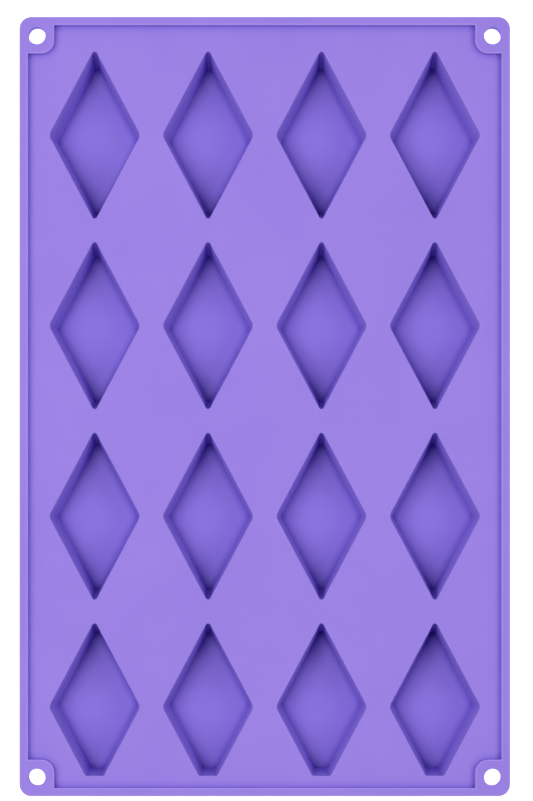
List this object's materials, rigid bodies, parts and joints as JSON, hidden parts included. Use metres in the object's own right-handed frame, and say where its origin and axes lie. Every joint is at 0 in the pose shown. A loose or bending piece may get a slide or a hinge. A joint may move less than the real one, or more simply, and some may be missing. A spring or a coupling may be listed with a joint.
{
  "type": "silicone soap mould",
  "caption": "Flexible silicone soap mould: a flat sheet with a raised rim, corner eyelets for hanging and a grid of tapered diamond-shaped cups whose floors push up to release the bars.",
  "frame": {"origin": "under the middle of the sheet, on the surface that the cups stand on", "axes": "+Z out of the cup mouths, +Y along the sheet's length towards row 1, +X across the sheet towards column 4"},
  "size_m": [0.187, 0.297, 0.022],
  "materials": {
    "silicone": "satin"
  },
  "bodies": {
    "row_1": {"deck_row_1": "silicone", "rim_left_row_1": "silicone", "rim_right_row_1": "silicone", "cup_r1c1": "silicone", "cup_r1c2": "silicone", "cup_r1c3": "silicone", "cup_r1c4": "silicone", "rim_back": "silicone", "eyelet_back_left": "silicone", "eyelet_back_right": "silicone"},
    "row_2": {"deck_row_2": "silicone", "rim_left_row_2": "silicone", "rim_right_row_2": "silicone", "cup_r2c1": "silicone", "cup_r2c2": "silicone", "cup_r2c3": "silicone", "cup_r2c4": "silicone"},
    "row_3": {"deck_row_3": "silicone", "rim_left_row_3": "silicone", "rim_right_row_3": "silicone", "cup_r3c1": "silicone", "cup_r3c2": "silicone", "cup_r3c3": "silicone", "cup_r3c4": "silicone"},
    "row_4": {"deck_row_4": "silicone", "rim_left_row_4": "silicone", "rim_right_row_4": "silicone", "cup_r4c1": "silicone", "cup_r4c2": "silicone", "cup_r4c3": "silicone", "cup_r4c4": "silicone", "rim_front": "silicone", "eyelet_front_left": "silicone", "eyelet_front_right": "silicone"},
    "floor_r1c1": {"cup_floor_r1c1": "silicone"},
    "floor_r1c2": {"cup_floor_r1c2": "silicone"},
    "floor_r1c3": {"cup_floor_r1c3": "silicone"},
    "floor_r1c4": {"cup_floor_r1c4": "silicone"},
    "floor_r2c1": {"cup_floor_r2c1": "silicone"},
    "floor_r2c2": {"cup_floor_r2c2": "silicone"},
    "floor_r2c3": {"cup_floor_r2c3": "silicone"},
    "floor_r2c4": {"cup_floor_r2c4": "silicone"},
    "floor_r3c1": {"cup_floor_r3c1": "silicone"},
    "floor_r3c2": {"cup_floor_r3c2": "silicone"},
    "floor_r3c3": {"cup_floor_r3c3": "silicone"},
    "floor_r3c4": {"cup_floor_r3c4": "silicone"},
    "floor_r4c1": {"cup_floor_r4c1": "silicone"},
    "floor_r4c2": {"cup_floor_r4c2": "silicone"},
    "floor_r4c3": {"cup_floor_r4c3": "silicone"},
    "floor_r4c4": {"cup_floor_r4c4": "silicone"}
  },
  "joints": [
    {"name": "flex_r1_r2", "type": "hinge", "parent": "row_2", "child": "row_1", "pos_m": [0, 0.06735, 0.02], "axis": [1, 0, 0], "range_deg": [0, 60], "stiffness_Nm_per_rad": 0.05},
    {"name": "flex_r2_r3", "type": "hinge", "parent": "row_2", "child": "row_3", "pos_m": [0, -0.0054, 0.02], "axis": [-1, 0, 0], "range_deg": [0, 60], "stiffness_Nm_per_rad": 0.05},
    {"name": "flex_r3_r4", "type": "hinge", "parent": "row_3", "child": "row_4", "pos_m": [0, -0.07815, 0.02], "axis": [-1, 0, 0], "range_deg": [0, 60], "stiffness_Nm_per_rad": 0.05},
    {"name": "push_r1c1", "type": "slide", "parent": "row_1", "child": "floor_r1c1", "axis": [0, 0, 1], "range_m": [0, 0.01], "stiffness_N_per_m": 400},
    {"name": "push_r1c2", "type": "slide", "parent": "row_1", "child": "floor_r1c2", "axis": [0, 0, 1], "range_m": [0, 0.01], "stiffness_N_per_m": 400},
    {"name": "push_r1c3", "type": "slide", "parent": "row_1", "child": "floor_r1c3", "axis": [0, 0, 1], "range_m": [0, 0.01], "stiffness_N_per_m": 400},
    {"name": "push_r1c4", "type": "slide", "parent": "row_1", "child": "floor_r1c4", "axis": [0, 0, 1], "range_m": [0, 0.01], "stiffness_N_per_m": 400},
    {"name": "push_r2c1", "type": "slide", "parent": "row_2", "child": "floor_r2c1", "axis": [0, 0, 1], "range_m": [0, 0.01], "stiffness_N_per_m": 400},
    {"name": "push_r2c2", "type": "slide", "parent": "row_2", "child": "floor_r2c2", "axis": [0, 0, 1], "range_m": [0, 0.01], "stiffness_N_per_m": 400},
    {"name": "push_r2c3", "type": "slide", "parent": "row_2", "child": "floor_r2c3", "axis": [0, 0, 1], "range_m": [0, 0.01], "stiffness_N_per_m": 400},
    {"name": "push_r2c4", "type": "slide", "parent": "row_2", "child": "floor_r2c4", "axis": [0, 0, 1], "range_m": [0, 0.01], "stiffness_N_per_m": 400},
    {"name": "push_r3c1", "type": "slide", "parent": "row_3", "child": "floor_r3c1", "axis": [0, 0, 1], "range_m": [0, 0.01], "stiffness_N_per_m": 400},
    {"name": "push_r3c2", "type": "slide", "parent": "row_3", "child": "floor_r3c2", "axis": [0, 0, 1], "range_m": [0, 0.01], "stiffness_N_per_m": 400},
    {"name": "push_r3c3", "type": "slide", "parent": "row_3", "child": "floor_r3c3", "axis": [0, 0, 1], "range_m": [0, 0.01], "stiffness_N_per_m": 400},
    {"name": "push_r3c4", "type": "slide", "parent": "row_3", "child": "floor_r3c4", "axis": [0, 0, 1], "range_m": [0, 0.01], "stiffness_N_per_m": 400},
    {"name": "push_r4c1", "type": "slide", "parent": "row_4", "child": "floor_r4c1", "axis": [0, 0, 1], "range_m": [0, 0.01], "stiffness_N_per_m": 400},
    {"name": "push_r4c2", "type": "slide", "parent": "row_4", "child": "floor_r4c2", "axis": [0, 0, 1], "range_m": [0, 0.01], "stiffness_N_per_m": 400},
    {"name": "push_r4c3", "type": "slide", "parent": "row_4", "child": "floor_r4c3", "axis": [0, 0, 1], "range_m": [0, 0.01], "stiffness_N_per_m": 400},
    {"name": "push_r4c4", "type": "slide", "parent": "row_4", "child": "floor_r4c4", "axis": [0, 0, 1], "range_m": [0, 0.01], "stiffness_N_per_m": 400}
  ]
}
